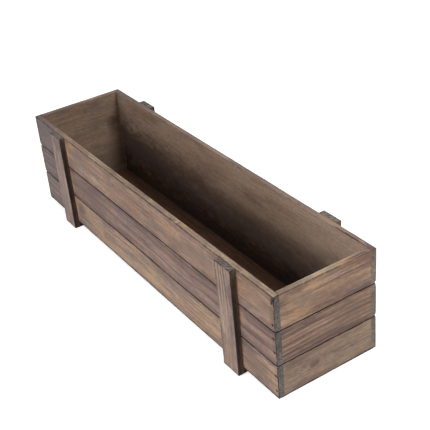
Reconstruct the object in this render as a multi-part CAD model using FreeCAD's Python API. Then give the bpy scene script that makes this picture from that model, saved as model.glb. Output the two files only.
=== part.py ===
import FreeCAD, Part
import os

from FreeCAD import Placement, Rotation, Vector

# Planter box of rustic planks, standing on the lower ends of its four battens and on the two
# runners that lie between them under the floor.
# +X runs along the box, -Y is the front, +Z is up and z = 0 is the ground. Sizes are millimetres.

# Driving sizes
INCH = 25.4
LENGTH = 24 * INCH  # end to end of the long planks
HEIGHT = 6 * INCH  # ground to rim
BOX_DEPTH = 5.75 * INCH  # outside of the front planks to outside of the back planks
STOCK = 8.0  # thickness of every plank and batten
FOOT_DROP = 9.0  # how far the battens reach below the bottom planks
ROWS = ("bottom", "middle", "top")

BATTEN_WIDTH = 1.25 * INCH
BATTEN_INSET = 70.3  # end of the box to the near edge of a batten

KERF = 1.0  # dark gap that shows between two planks
KERF_DEPTH = 2.2  # depth of that gap, the planks touch behind it
EDGE_EASE = 0.7  # sanded outer edges
RIM_OUTER_EASE = 1.2
RIM_INNER_EASE = 0.5

FLOOR_THICK = 3.0
FLOOR_REBATE = 4.0  # how far the floor board goes in under the walls
FLOOR_PLAY = 0.3  # room round the floor board in its rebate

NAIL_HEAD_THICK = 0.8
NAIL_TIP = 2.0  # length of the pointed end
NAIL_SINK = 0.5  # depth of the head below the wood
BRAD_SHANK_RADIUS = 0.6
BRAD_HEAD_RADIUS = 1.1
PIN_RADIUS = 0.35  # headless
CORNER_BRAD_LENGTH = 25.0
BATTEN_PIN_LENGTH = 14.0
FLOOR_BRAD_LENGTH = 14.0
RUNNER_BRAD_LENGTH = 18.0

# Heights of the corner brads above the lower edge of their own plank
CORNER_BRAD_HEIGHTS = {"bottom": (10.4, 32.0), "middle": (18.2, 38.0), "top": (8.8, 38.4)}
BATTEN_PIN_SPREAD = 8.0  # along the box, from the middle of the batten
BATTEN_PIN_RISE = 10.0  # up and down, from the middle of the plank
FLOOR_BRAD_STATIONS = (-260.0, -130.0, 0.0, 130.0, 260.0)  # along the long walls
FLOOR_BRAD_END_STATIONS = (-30.0, 30.0)  # along the end walls
RUNNER_BRAD_SPREAD = 10.0  # along the box, from the middle of the runner

# Worked-out sizes
PLANK_FACE = (HEIGHT - FOOT_DROP) / len(ROWS)
INNER_LENGTH = LENGTH - 2 * STOCK
INNER_DEPTH = BOX_DEPTH - 2 * STOCK
BATTEN_CENTRE = LENGTH / 2 - BATTEN_INSET - BATTEN_WIDTH / 2
BATTEN_STATIONS = (-BATTEN_CENTRE, BATTEN_CENTRE)  # along the long walls
END_WALL_CENTRE = (LENGTH - STOCK) / 2
REBATE_CENTRE = STOCK - FLOOR_REBATE / 2  # from the outer face of a wall
UP = Vector(0, 0, 1)
INWARD = Vector(0, 1, 0)
UPWARD = Placement(Vector(), Rotation(Vector(1, 0, 0), 90))  # turns a nail to go in from below
SAME_PLACE = 1e-6

# Each wall is drawn as a front wall and then turned to its own side of the box
WALL_TURN = {"front": 0, "right_end": 90, "back": 180, "left_end": 270}
WALL_REACH = {"front": BOX_DEPTH / 2, "right_end": LENGTH / 2, "back": BOX_DEPTH / 2, "left_end": LENGTH / 2}
LONG_WALLS = ("front", "back")
END_WALLS = ("left_end", "right_end")


def block(x_span, y_span, z_span):
    """Box between two places on each axis."""
    sizes = [span[1] - span[0] for span in (x_span, y_span, z_span)]
    return Part.makeBox(*sizes, Vector(x_span[0], y_span[0], z_span[0]))


def centred(size):
    """The two ends of a length that is centred on zero."""
    return (-size / 2, size / 2)


def edges_at(shape, end=None, depth=None, height=None):
    """Edges whose middle lies at this distance along the length, this depth and this height."""
    chosen = []
    for edge in shape.Edges:
        middle = edge.CenterOfMass
        wanted = ((end, abs(middle.x)), (depth, middle.y), (height, middle.z))
        if all(place is None or abs(place - found) < SAME_PLACE for place, found in wanted):
            chosen.append(edge)
    return chosen


def outer_edges(wood, length, height, ends_show):
    """Edges of a plank's outer face at this height, and of its ends where they show."""
    edges = edges_at(wood, depth=0, height=height)
    if ends_show:
        edges += edges_at(wood, end=length / 2, height=height)
    return edges


def plank(length, row, ends_show):
    """Plank with its outer face on y = 0, looking along -Y, and its lower edge on z = 0.

    The outer skin is a little lower than the body behind it, so that stacked planks leave a dark
    gap outside and touch inside. Where the ends show, the gap runs round them too.
    """
    low = 0.0 if row == ROWS[0] else KERF / 2
    high = PLANK_FACE if row == ROWS[-1] else PLANK_FACE - KERF / 2
    skin = block(centred(length), (0, STOCK), (low, high))
    if row == ROWS[-1]:
        skin = skin.makeChamfer(RIM_OUTER_EASE, outer_edges(skin, length, high, ends_show))
        eased = outer_edges(skin, length, low, ends_show)
    else:
        eased = outer_edges(skin, length, low, ends_show) + outer_edges(skin, length, high, ends_show)
    if ends_show:
        eased += edges_at(skin, end=length / 2, depth=0)
    skin = skin.makeChamfer(EDGE_EASE, eased)
    body_length = length - 2 * KERF_DEPTH if ends_show else length
    body = block(centred(body_length), (KERF_DEPTH, STOCK), (0, PLANK_FACE))
    wood = skin.fuse(body).removeSplitter()
    if row == ROWS[-1]:
        wood = wood.makeChamfer(RIM_INNER_EASE, edges_at(wood, depth=STOCK, height=PLANK_FACE))
    if row == ROWS[0]:
        reach = INNER_LENGTH + 2 * FLOOR_REBATE if ends_show else length
        wood = wood.cut(block(centred(reach), (STOCK - FLOOR_REBATE, STOCK), (0, FLOOR_THICK)))
    return wood


def batten():
    """Batten with its back on y = 0, standing on z = 0 in front of the wall."""
    wood = block(centred(BATTEN_WIDTH), (-STOCK, 0), (0, HEIGHT))
    front_edges = edges_at(wood, depth=-STOCK)
    return wood.makeChamfer(EDGE_EASE, front_edges)


class Nail:
    """Nail driven along +Y from the wood's surface on y = 0, its head sunk below the wood."""

    def __init__(self, length, shank_radius, head_radius):
        neck = NAIL_SINK + NAIL_HEAD_THICK
        shank_end = NAIL_SINK + length - NAIL_TIP
        head = Part.makeCylinder(head_radius, NAIL_HEAD_THICK, INWARD * NAIL_SINK, INWARD)
        shank = Part.makeCylinder(shank_radius, shank_end - neck, INWARD * neck, INWARD)
        tip = Part.makeCone(shank_radius, 0, NAIL_TIP, INWARD * shank_end, INWARD)
        well = Part.makeCylinder(head_radius, NAIL_SINK, Vector(), INWARD)
        self.solid = head.fuse([shank, tip]).removeSplitter()
        self.hole = self.solid.fuse(well).removeSplitter()


def at_wall(side, along=0.0, depth=0.0, height=0.0):
    """Placement on a wall's outer face: along it, into it and above the ground."""
    wall = Placement(Vector(), Rotation(UP, WALL_TURN[side]))
    return wall * Placement(Vector(along, depth - WALL_REACH[side], height), Rotation())


def placed(shape, placement):
    """Copy of a shape at a placement."""
    moved = shape.copy()
    moved.Placement = placement * moved.Placement
    return moved


class Assembly:
    """Wooden pieces and the nails that hold them together."""

    def __init__(self):
        self.wood = {}
        self.holes = {}
        self.nails = {}

    def add_wood(self, name, shape):
        """Puts in one wooden piece under its node's name."""
        self.wood[name] = shape
        self.holes[name] = []

    def drive(self, group, nail, placement, through):
        """Drives one nail through the named pieces and keeps its holes for them."""
        self.nails.setdefault(group, []).append(placed(nail.solid, placement))
        for name in through:
            self.holes[name].append(placed(nail.hole, placement))

    def export(self):
        """Writes one file for each wooden piece and one for each group of nails."""
        os.makedirs("parts", exist_ok=True)
        for name, shape in self.wood.items():
            shape.cut(self.holes[name]).exportStep(f"parts/{name}.step")
        for group, solids in self.nails.items():
            Part.makeCompound(solids).exportStep(f"parts/{group}.step")


def add_walls(box):
    """Stacks the planks of the four walls, the end planks held between the long ones."""
    for level, row in enumerate(ROWS):
        foot = FOOT_DROP + level * PLANK_FACE
        long_plank = plank(LENGTH, row, ends_show=True)
        end_plank = plank(INNER_DEPTH, row, ends_show=False)
        for side in LONG_WALLS:
            box.add_wood(f"{side}_plank_{row}", placed(long_plank, at_wall(side, height=foot)))
        for side in END_WALLS:
            box.add_wood(f"{side}_plank_{row}", placed(end_plank, at_wall(side, height=foot)))


def add_floor(box):
    """Lays the floor board into the rebate under the walls."""
    x_span = centred(INNER_LENGTH + 2 * (FLOOR_REBATE - FLOOR_PLAY))
    y_span = centred(INNER_DEPTH + 2 * (FLOOR_REBATE - FLOOR_PLAY))
    box.add_wood("floor_board", block(x_span, y_span, (FOOT_DROP, FOOT_DROP + FLOOR_THICK)))


def half_of_box(side, station):
    """The half of the box, left or right, that holds a station along a turned long wall."""
    on_right = (station > 0) == (side == "front")
    return "right" if on_right else "left"


def batten_name(side, station):
    """Name of the batten on a long wall, at a station along the turned wall."""
    return f"batten_{side}_{half_of_box(side, station)}"


def add_battens(box):
    """Stands two battens against each long wall."""
    for side in LONG_WALLS:
        for station in BATTEN_STATIONS:
            box.add_wood(batten_name(side, station), placed(batten(), at_wall(side, along=station)))


def add_runners(box):
    """Lays a runner under the box between the feet of each front and back batten."""
    wood = block(centred(BATTEN_WIDTH), centred(BOX_DEPTH), (0, FOOT_DROP))
    wood = wood.makeChamfer(EDGE_EASE, edges_at(wood, end=BATTEN_WIDTH / 2, height=0))
    for station in BATTEN_STATIONS:
        spot = Placement(Vector(station, 0, 0), Rotation())
        box.add_wood(f"runner_{half_of_box('front', station)}", placed(wood, spot))


def nail_corners(box):
    """Drives brads through the long planks into the end grain of the end planks."""
    brad = Nail(CORNER_BRAD_LENGTH, BRAD_SHANK_RADIUS, BRAD_HEAD_RADIUS)
    for level, row in enumerate(ROWS):
        foot = FOOT_DROP + level * PLANK_FACE
        for side in LONG_WALLS:
            for station in (-END_WALL_CENTRE, END_WALL_CENTRE):
                end = f"{half_of_box(side, station)}_end"
                through = (f"{side}_plank_{row}", f"{end}_plank_{row}")
                for rise in CORNER_BRAD_HEIGHTS[row]:
                    spot = at_wall(side, along=station, height=foot + rise)
                    box.drive("corner_brads", brad, spot, through)


def nail_battens(box):
    """Drives headless pins through the battens into every long plank behind them."""
    pin = Nail(BATTEN_PIN_LENGTH, PIN_RADIUS, PIN_RADIUS)
    for level, row in enumerate(ROWS):
        middle = FOOT_DROP + (level + 0.5) * PLANK_FACE
        for side in LONG_WALLS:
            for station in BATTEN_STATIONS:
                through = (f"{side}_plank_{row}", batten_name(side, station))
                for way in (-1, 1):
                    along = station + way * BATTEN_PIN_SPREAD
                    spot = at_wall(side, along=along, depth=-STOCK, height=middle + way * BATTEN_PIN_RISE)
                    box.drive("batten_pins", pin, spot, through)


def nail_floor(box):
    """Drives brads up through the floor board into the bottom planks."""
    brad = Nail(FLOOR_BRAD_LENGTH, BRAD_SHANK_RADIUS, BRAD_HEAD_RADIUS)
    stations = {side: FLOOR_BRAD_STATIONS for side in LONG_WALLS}
    stations.update({side: FLOOR_BRAD_END_STATIONS for side in END_WALLS})
    for side, along_wall in stations.items():
        for along in along_wall:
            spot = at_wall(side, along=along, depth=REBATE_CENTRE, height=FOOT_DROP) * UPWARD
            box.drive("floor_brads", brad, spot, ("floor_board", f"{side}_plank_bottom"))


def nail_runners(box):
    """Drives brads up through the ends of the runners and the floor board into the bottom planks."""
    brad = Nail(RUNNER_BRAD_LENGTH, BRAD_SHANK_RADIUS, BRAD_HEAD_RADIUS)
    for side in LONG_WALLS:
        for station in BATTEN_STATIONS:
            through = (f"runner_{half_of_box(side, station)}", "floor_board", f"{side}_plank_bottom")
            for way in (-1, 1):
                along = station + way * RUNNER_BRAD_SPREAD
                spot = at_wall(side, along=along, depth=REBATE_CENTRE) * UPWARD
                box.drive("runner_brads", brad, spot, through)


planter = Assembly()
add_walls(planter)
add_floor(planter)
add_battens(planter)
add_runners(planter)
nail_corners(planter)
nail_battens(planter)
nail_floor(planter)
nail_runners(planter)
planter.export()
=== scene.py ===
"""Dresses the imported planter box: worn stained planks, battens, runners, a floor board and dark nails."""
import logging
import math
from dataclasses import dataclass, replace
from enum import Enum
from typing import Any, Optional

import bmesh
import bpy
from mathutils import Matrix, Vector, noise


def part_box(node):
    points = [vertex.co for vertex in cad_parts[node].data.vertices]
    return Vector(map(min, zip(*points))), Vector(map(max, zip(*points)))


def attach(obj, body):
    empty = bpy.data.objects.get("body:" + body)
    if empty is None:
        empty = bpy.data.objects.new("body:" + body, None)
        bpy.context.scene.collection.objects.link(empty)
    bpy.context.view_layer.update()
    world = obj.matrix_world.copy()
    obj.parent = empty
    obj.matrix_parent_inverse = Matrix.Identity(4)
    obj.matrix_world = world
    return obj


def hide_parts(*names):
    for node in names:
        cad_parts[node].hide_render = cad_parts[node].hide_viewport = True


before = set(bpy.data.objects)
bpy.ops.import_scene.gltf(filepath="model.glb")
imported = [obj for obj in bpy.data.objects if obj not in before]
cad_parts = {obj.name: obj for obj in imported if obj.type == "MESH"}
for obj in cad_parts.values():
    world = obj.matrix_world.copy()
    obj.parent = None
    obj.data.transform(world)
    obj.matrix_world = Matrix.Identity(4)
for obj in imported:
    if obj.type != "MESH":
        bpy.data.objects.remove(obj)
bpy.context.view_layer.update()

Mesh = bmesh.types.BMesh
Outputs = bpy.types.NodeOutputs
Socket = bpy.types.NodeSocket
Pair = tuple[float, float]
Triple = tuple[float, float, float]

LOG = logging.getLogger("planter")
MM = 0.001
BODY = "root"
UP = Vector((0.0, 0.0, 1.0))
SHARP_ANGLE = math.radians(42.0)
WHITE = (1.0, 1.0, 1.0, 1.0)
MID_GREY = (0.5, 0.5, 0.5)
SQUARE_TO_GRAIN = (0.0, 1.0, 1.0)
# How far a seed moves the noise of a finish and of a worn shape.
FINISH_STRIDE = (7.31, 3.17, 5.77)
SHAPE_STRIDE = (3.1, 1.7, 2.3)
# What is added to the seed of a board's face for its end grain and its narrow sides.
END_SEED = 0.5
SIDE_SEED = 0.7
# A mark of this length, in millimetres, is a band over the whole board.
WHOLE = 9000.0
# A knot here is outside every board, and ends this much farther out are never scorched.
NO_KNOT = (9.0, 0.0, 9.0)
FAR_ENDS = Vector((1.0, 0.0, 0.0))
# The least share of a direction along an axis: for an edge that runs along it, for a face that looks
# along it, and for the axis that a board looks along.
ALONG_AXIS = 0.99
LOOKS_ALONG = 0.8
MOSTLY = 0.5
# Points closer together than the first are one point, and a step shorter than the second is none.
TOUCHING = 1e-6
TINY = 1e-9


def linear(colour: Triple) -> tuple[float, ...]:
    """Turns a display colour into linear light, by the sRGB curve.

    Args:
        colour: Red, green and blue, 0 to 255.

    Returns:
        The colour with its alpha, as a shader socket takes it.
    """
    parts = [part / 255.0 for part in colour]
    lit = [part / 12.92 if part <= 0.04045 else ((part + 0.055) / 1.055) ** 2.4 for part in parts]
    return (*lit, 1.0)


def smooth(value: float, start: float, end: float) -> float:
    """Eases from 0 at start to 1 at end.

    Args:
        value: The value to place between the two ends.
        start: Where the ease begins.
        end: Where the ease is done.

    Returns:
        A number from 0 to 1.
    """
    part = min(1.0, max(0.0, (value - start) / (end - start)))
    return part * part * (3.0 - 2.0 * part)


def span(points: list[Vector]) -> tuple[Vector, Vector]:
    """Returns the lowest and the highest corner of the box round some points."""
    rows = [sorted(row) for row in zip(*points)]
    return Vector([row[0] for row in rows]), Vector([row[-1] for row in rows])


class Facing(Enum):
    """The way a board's grain runs and the way its show face looks."""

    FRONT = ((-1, 0, 0), (0, -1, 0))
    BACK = ((1, 0, 0), (0, 1, 0))
    LEFT = ((0, 1, 0), (-1, 0, 0))
    RIGHT = ((0, -1, 0), (1, 0, 0))
    FRONT_UPRIGHT = ((0, 0, 1), (0, -1, 0))
    BACK_UPRIGHT = ((0, 0, 1), (0, 1, 0))
    UNDERSIDE = ((1, 0, 0), (0, 0, -1))
    RUNNER = ((0, 1, 0), (0, 0, -1))

    def turn(self) -> Matrix:
        """Returns the turn from a board's own axes (along, out, across) to the box's axes."""
        along, out = (Vector(axis) for axis in self.value)
        return Matrix((along, out, along.cross(out))).transposed()


class Row(Enum):
    """The rows of planks in a wall, from the ground up."""

    BOTTOM = "bottom"
    MIDDLE = "middle"
    TOP = "top"


class Wall(Enum):
    """The four walls of the box."""

    FRONT = "front"
    BACK = "back"
    LEFT_END = "left_end"
    RIGHT_END = "right_end"


class Paint(Enum):
    """The material slots of a board, in order."""

    FACE = 0
    INSIDE = 1
    END = 2
    RIM = 3
    BORE = 4
    SIDE = 5


class SocketKind(Enum):
    """The kinds of socket in the shared groups, with the name that a group's interface has for each."""

    VALUE = "NodeSocketFloat"
    VECTOR = "NodeSocketVector"
    RGBA = "NodeSocketColor"


@dataclass(frozen=True)
class Seat:
    """Where a board lies: its middle, its half sizes and the turn from its own axes."""

    middle: Vector
    half: Vector
    turn: Matrix

    @classmethod
    def around(cls, nodes: list[str], facing: Facing) -> "Seat":
        """Finds the seat of one CAD node, or of several taken together.

        Args:
            nodes: Names of the CAD nodes.
            facing: The way that the board looks.

        Returns:
            The seat round all of them.
        """
        low, high = span([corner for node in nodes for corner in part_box(node)])
        turn = facing.turn()
        half = Vector([abs(turn.col[i].dot(high - low)) / 2.0 for i in range(3)])
        return cls((low + high) / 2.0, half, turn)

    def placed(self, own: Vector) -> Vector:
        """Returns a point of the board's own axes as a point of the box."""
        return self.turn @ own + self.middle


class Sheet:
    """A node tree, with short calls that add nodes and join their sockets."""

    # The Mix node's colour sockets share their names with its other sockets, so they go by number.
    mix_first, mix_second, mix_result = 6, 7, 2

    def __init__(self, tree: bpy.types.NodeTree) -> None:
        """Keeps the tree to work on."""
        self.tree = tree

    def fill(self, inputs: bpy.types.NodeInputs, given: dict[Any, Any]) -> None:
        """Joins inputs of a node to sockets, or gives them plain values.

        Args:
            inputs: The node's inputs.
            given: Sockets or values, by the input's name or number.
        """
        for key, value in given.items():
            if isinstance(value, Socket):
                self.tree.links.new(value, inputs[key])
            else:
                inputs[key].default_value = value

    def node(self, kind: str, given: Optional[dict[Any, Any]] = None, **settings: Any) -> Outputs:
        """Adds a node.

        Args:
            kind: The node's type name.
            given: Sockets or values for its inputs, by name or number.
            **settings: Properties to set on it first.

        Returns:
            The new node's outputs.
        """
        made = self.tree.nodes.new(kind)
        for key, value in settings.items():
            setattr(made, key, value)
        self.fill(made.inputs, given or {})
        return made.outputs

    def maths(self, operation: str, *values: Any) -> Socket:
        """Adds an operation on numbers."""
        return self.node("ShaderNodeMath", dict(enumerate(values)), operation=operation)[0]

    def plus(self, first: Any, second: Any) -> Socket:
        """Adds the sum of two numbers."""
        return self.maths("ADD", first, second)

    def minus(self, first: Any, second: Any) -> Socket:
        """Adds the difference of two numbers."""
        return self.maths("SUBTRACT", first, second)

    def times(self, first: Any, second: Any) -> Socket:
        """Adds the product of two numbers."""
        return self.maths("MULTIPLY", first, second)

    def weighed(self, start: Any, given: Outputs, weights: dict[str, float]) -> Socket:
        """Adds a sum of masks, each with its own weight.

        Args:
            start: The number that the sum starts from.
            given: The masks by name.
            weights: The weight of each mask by name.

        Returns:
            The sum's socket.
        """
        for name, weight in weights.items():
            start = self.plus(start, self.times(given[name], weight))
        return start

    def vector(self, operation: str, *values: Any) -> Socket:
        """Adds an operation on vectors."""
        return self.node("ShaderNodeVectorMath", dict(enumerate(values)), operation=operation)["Vector"]

    def scaled(self, vector: Any, factor: Any) -> Socket:
        """Adds a vector times a number."""
        return self.node("ShaderNodeVectorMath", {0: vector, "Scale": factor}, operation="SCALE")["Vector"]

    def length(self, vector: Any) -> Socket:
        """Adds the length of a vector."""
        return self.node("ShaderNodeVectorMath", {0: vector}, operation="LENGTH")["Value"]

    def parts(self, vector: Any) -> Outputs:
        """Returns the three parts of a vector, as sockets."""
        return self.node("ShaderNodeSeparateXYZ", {0: vector})

    def seeded(self, place: Any, seed: Any) -> Socket:
        """Adds a place that a board's seed has moved."""
        return self.vector("ADD", place, self.scaled(FINISH_STRIDE, seed))

    def fade(self, value: Any, start: Any, end: Any) -> Socket:
        """Adds an ease from 0 at start to 1 at end."""
        given = {"Value": value, "From Min": start, "From Max": end}
        return self.node("ShaderNodeMapRange", given, interpolation_type="SMOOTHSTEP")[0]

    def blend(self, amount: Any, first: Any, second: Any) -> Socket:
        """Adds a mix of two colours, with all of the second at an amount of 1."""
        given = {0: amount, self.mix_first: first, self.mix_second: second}
        return self.node("ShaderNodeMix", given, data_type="RGBA")[self.mix_result]

    def ramp(self, value: Any, stops: tuple[Pair, ...]) -> Socket:
        """Adds a curve of straight runs from value to brightness.

        Args:
            value: The value to look up.
            stops: Pairs of place and brightness.

        Returns:
            The result's socket.
        """
        made = self.tree.nodes.new("ShaderNodeValToRGB")
        band = made.color_ramp.elements
        while len(band) < len(stops):
            band.new(0.5)
        for element, (place, level) in zip(band, stops):
            element.position = place
            element.color = (level, level, level, 1.0)
        self.fill(made.inputs, {0: value})
        return made.outputs[0]


def new_material(name: str) -> tuple[bpy.types.Material, Sheet, bpy.types.NodeInputs]:
    """Makes a plain material.

    Args:
        name: The material's name.

    Returns:
        The material, its tree and the inputs of its shader.
    """
    made = bpy.data.materials.new(name)
    made.use_nodes = True
    return made, Sheet(made.node_tree), made.node_tree.nodes["Principled BSDF"].inputs


@dataclass(frozen=True)
class Cloud:
    """Soft noise: its cells per metre on each axis, its finer layers, and the levels of its mask."""

    cells: Triple
    layers: float = 2.0
    rough: float = 0.5
    start: float = 0.0
    end: float = 1.0
    shift: Triple = (0.0, 0.0, 0.0)

    def raw(self, sheet: Sheet, place: Any, result: Any = 0) -> Socket:
        """Adds the noise as it is.

        Args:
            sheet: The tree to add it to.
            place: The vector that the noise reads.
            result: The name or number of the noise's output.

        Returns:
            The output's socket.
        """
        spot = sheet.vector("MULTIPLY", sheet.vector("ADD", place, self.shift), self.cells)
        given = {"Vector": spot, "Scale": 1.0, "Detail": self.layers, "Roughness": self.rough}
        return sheet.node("ShaderNodeTexNoise", given, noise_dimensions="3D")[result]

    def mask(self, sheet: Sheet, place: Any) -> Socket:
        """Adds the noise, eased from 0 at its start to 1 at its end."""
        return sheet.fade(self.raw(sheet, place), self.start, self.end)

    def push(self, sheet: Sheet, place: Any) -> Socket:
        """Adds the noise as a vector that points any way."""
        return sheet.vector("SUBTRACT", self.raw(sheet, place, "Color"), MID_GREY)


class SharedGroup:
    """A shader node group that is built once and placed in each finish with its own values."""

    name: str = ""
    inputs: dict[SocketKind, tuple[str, ...]] = {}

    def wire(self, sheet: Sheet, given: Outputs) -> dict[str, Socket]:
        """Fills the group with nodes.

        Args:
            sheet: The group's own tree.
            given: The sockets of the group's inputs.

        Returns:
            The socket for each of the group's outputs, by name.
        """
        raise NotImplementedError

    def tree(self) -> bpy.types.NodeTree:
        """Finds the group's tree, or makes it at its first use.

        Returns:
            The tree.
        """
        found = bpy.data.node_groups.get(self.name)
        if found is not None:
            return found
        made = bpy.data.node_groups.new(self.name, "ShaderNodeTree")
        for kind, names in self.inputs.items():
            for name in names:
                made.interface.new_socket(name=name, in_out="INPUT", socket_type=kind.value)
        sheet = Sheet(made)
        results = self.wire(sheet, sheet.node("NodeGroupInput"))
        for name, socket in results.items():
            kind = SocketKind[socket.type]
            made.interface.new_socket(name=name, in_out="OUTPUT", socket_type=kind.value)
        sheet.fill(made.nodes.new("NodeGroupOutput").inputs, results)
        return made

    def place(self, sheet: Sheet, **values: Any) -> dict[str, Socket]:
        """Puts the group into a finish with values for its inputs, and returns its outputs by name."""
        return dict(sheet.node("ShaderNodeGroup", values, node_tree=self.tree()).items())


class BoardGrain(SharedGroup):
    """Growth rings, fibres, streaks and clouds of one board, with its grain along its own X."""

    name = "Board grain"
    values = ("seed", "taper", "pitch", "wander", "streak_cover", "knot_size")
    inputs = {SocketKind.VECTOR: ("place", "pith", "knot"), SocketKind.VALUE: values}
    # How dark a ring is, from the start of its year to the end.
    ring_shape = ((0.0, 0.05), (0.3, 0.1), (0.7, 0.55), (0.92, 1.0), (1.0, 0.05))
    ring_stride = 3.7
    ring_chance = Cloud((1, 1, 1), 0, start=0.25, end=0.6)
    ring_patch = Cloud((6, 20, 26), start=0.25, end=0.52)
    ring_bend = Cloud((2, 9, 9))
    knot_squash = (0.5, 0.0, 1.0)
    knot_fall = -0.35
    knot_swell = 2.2
    knot_eye = (1.1, 0.5)
    fibre_stray = Cloud((5, 14, 14))
    fibre_reach = (0.0, 0.02, 0.02)
    streaks = Cloud((1.9, 60, 235), 4, 0.62, 0.36, 0.56)
    streak_start = 0.7
    streak_gain = 0.3
    streak_ease = 0.1
    hairs = Cloud((6, 300, 520), 2, 0.5, 0.57, 0.68, (3, 9, 6))
    mottle = Cloud((150, 330, 380), 3, 0.65)
    # Masks that follow the fibres, and masks that lie over the board as a whole.
    threads = {
        "fibre": Cloud((9, 560, 430), 4, 0.62, 0.32, 0.68),
        "fleck": Cloud((60, 800, 560), 2, 0.6, 0.61, 0.72),
        "gleam": Cloud((1.7, 90, 300), 3, 0.5, 0.58, 0.68, (8, 2, 14)),
    }
    blotches = {
        "cloud": Cloud((7, 24, 34), 5, 0.72, 0.38, 0.62),
        "haze": Cloud((13, 34, 30), 5, 0.72, 0.46, 0.64, (11, 4, 2)),
        "warmth": Cloud((11, 40, 50), 5, 0.72, 0.5, 0.66, (5, 17, 23)),
    }

    def wire(self, sheet: Sheet, given: Outputs) -> dict[str, Socket]:
        """Fills the group with nodes.

        Args:
            sheet: The group's own tree.
            given: The sockets of the group's inputs.

        Returns:
            The masks of the grain, by name.
        """
        place = given["place"]
        spot = sheet.seeded(place, given["seed"])
        apart = sheet.vector("MULTIPLY", sheet.vector("SUBTRACT", place, given["knot"]), self.knot_squash)
        apart = sheet.maths("DIVIDE", sheet.length(apart), given["knot_size"])
        near = sheet.maths("EXPONENT", sheet.times(sheet.maths("POWER", apart, 2.0), self.knot_fall))
        swell = sheet.times(near, sheet.times(given["knot_size"], self.knot_swell))
        bend = sheet.scaled(self.ring_bend.push(sheet, spot), given["wander"])
        centred = sheet.vector("ADD", sheet.vector("SUBTRACT", place, given["pith"]), bend)
        across = sheet.length(sheet.vector("MULTIPLY", centred, SQUARE_TO_GRAIN))
        along = sheet.times(sheet.parts(place)[0], given["taper"])
        radius = sheet.plus(sheet.plus(across, along), swell)
        count = sheet.maths("DIVIDE", radius, given["pitch"])
        year = sheet.times(sheet.maths("FLOOR", count), self.ring_stride)
        year = sheet.node("ShaderNodeCombineXYZ", {0: year, 1: given["seed"]})[0]
        rings = sheet.ramp(sheet.maths("FRACT", count), self.ring_shape)
        rings = sheet.times(rings, self.ring_chance.mask(sheet, year))
        rings = sheet.times(rings, self.ring_patch.mask(sheet, spot))
        stray = sheet.vector("MULTIPLY", self.fibre_stray.push(sheet, spot), self.fibre_reach)
        stray = sheet.vector("ADD", stray, sheet.scaled(SQUARE_TO_GRAIN, swell))
        lane = sheet.vector("ADD", spot, stray)
        grain = self.streaks.raw(sheet, lane)
        edge = sheet.minus(self.streak_start, sheet.times(given["streak_cover"], self.streak_gain))
        dense = sheet.fade(grain, self.streaks.start, self.streaks.end)
        return {
            "rings": rings,
            "streak": sheet.fade(grain, edge, sheet.plus(edge, self.streak_ease)),
            "hair": sheet.times(self.hairs.mask(sheet, lane), dense),
            "mottle": self.mottle.raw(sheet, spot),
            "eye": sheet.fade(apart, *self.knot_eye),
            **{name: cloud.mask(sheet, lane) for name, cloud in self.threads.items()},
            **{name: cloud.mask(sheet, spot) for name, cloud in self.blotches.items()},
        }


class BoardEdge(SharedGroup):
    """Scorched bands and pale rubbed bands along the edges of one board, on its show side; the pale bands are
    partly wear and partly a painted edge highlight.
    """

    name = "Board edge"
    values = ("reach", "seed")
    inputs = {SocketKind.VECTOR: ("place", "half"), SocketKind.VALUE: values}
    ragged = Cloud((120, 120, 120), 4, 0.6, 0.55, 0.68)
    slow = Cloud((24, 24, 24), 3, 0.5, 0.38, 0.58)
    scorch_sway = 1.6
    scorch_core = 0.25
    scorch_least = 0.6
    brown_sway = 0.05
    brown_reach = 0.009
    rub_and_highlight_reach = (0.0034, 0.0014)

    def wire(self, sheet: Sheet, given: Outputs) -> dict[str, Socket]:
        """Fills the group with nodes.

        Args:
            sheet: The group's own tree.
            given: The sockets of the group's inputs.

        Returns:
            The masks of the edges, by name.
        """
        own = sheet.parts(given["place"])
        half = sheet.parts(given["half"])
        reach = given["reach"]
        ends = sheet.minus(half[0], sheet.maths("ABSOLUTE", own[0]))
        outer = sheet.minus(half[1], own[1])
        sides = sheet.minus(half[2], sheet.maths("ABSOLUTE", own[2]))
        # The second smallest distance to a face is the distance to the nearest edge.
        low = sheet.maths("MINIMUM", ends, outer)
        high = sheet.maths("MAXIMUM", ends, outer)
        nearest = sheet.maths("MAXIMUM", low, sheet.maths("MINIMUM", high, sides))
        spot = sheet.seeded(given["place"], given["seed"])
        ragged = self.ragged.raw(sheet, spot)
        slow = self.slow.raw(sheet, spot)
        sway = sheet.times(sheet.minus(ragged, 0.5), sheet.times(reach, self.scorch_sway))
        line = sheet.plus(nearest, sway)
        patchy = sheet.fade(slow, self.slow.start, self.slow.end)
        strength = sheet.plus(self.scorch_least, sheet.times(patchy, 1.0 - self.scorch_least))
        scorch = sheet.fade(line, reach, sheet.times(reach, self.scorch_core))
        wide = sheet.plus(nearest, sheet.times(sheet.minus(slow, 0.5), self.brown_sway))
        torn = sheet.fade(ragged, self.ragged.start, self.ragged.end)
        return {
            "scorch": sheet.times(scorch, strength),
            "brown": sheet.fade(wide, self.brown_reach, 0.0),
            "rub_and_highlight": sheet.times(sheet.fade(line, *self.rub_and_highlight_reach), torn),
        }


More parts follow.
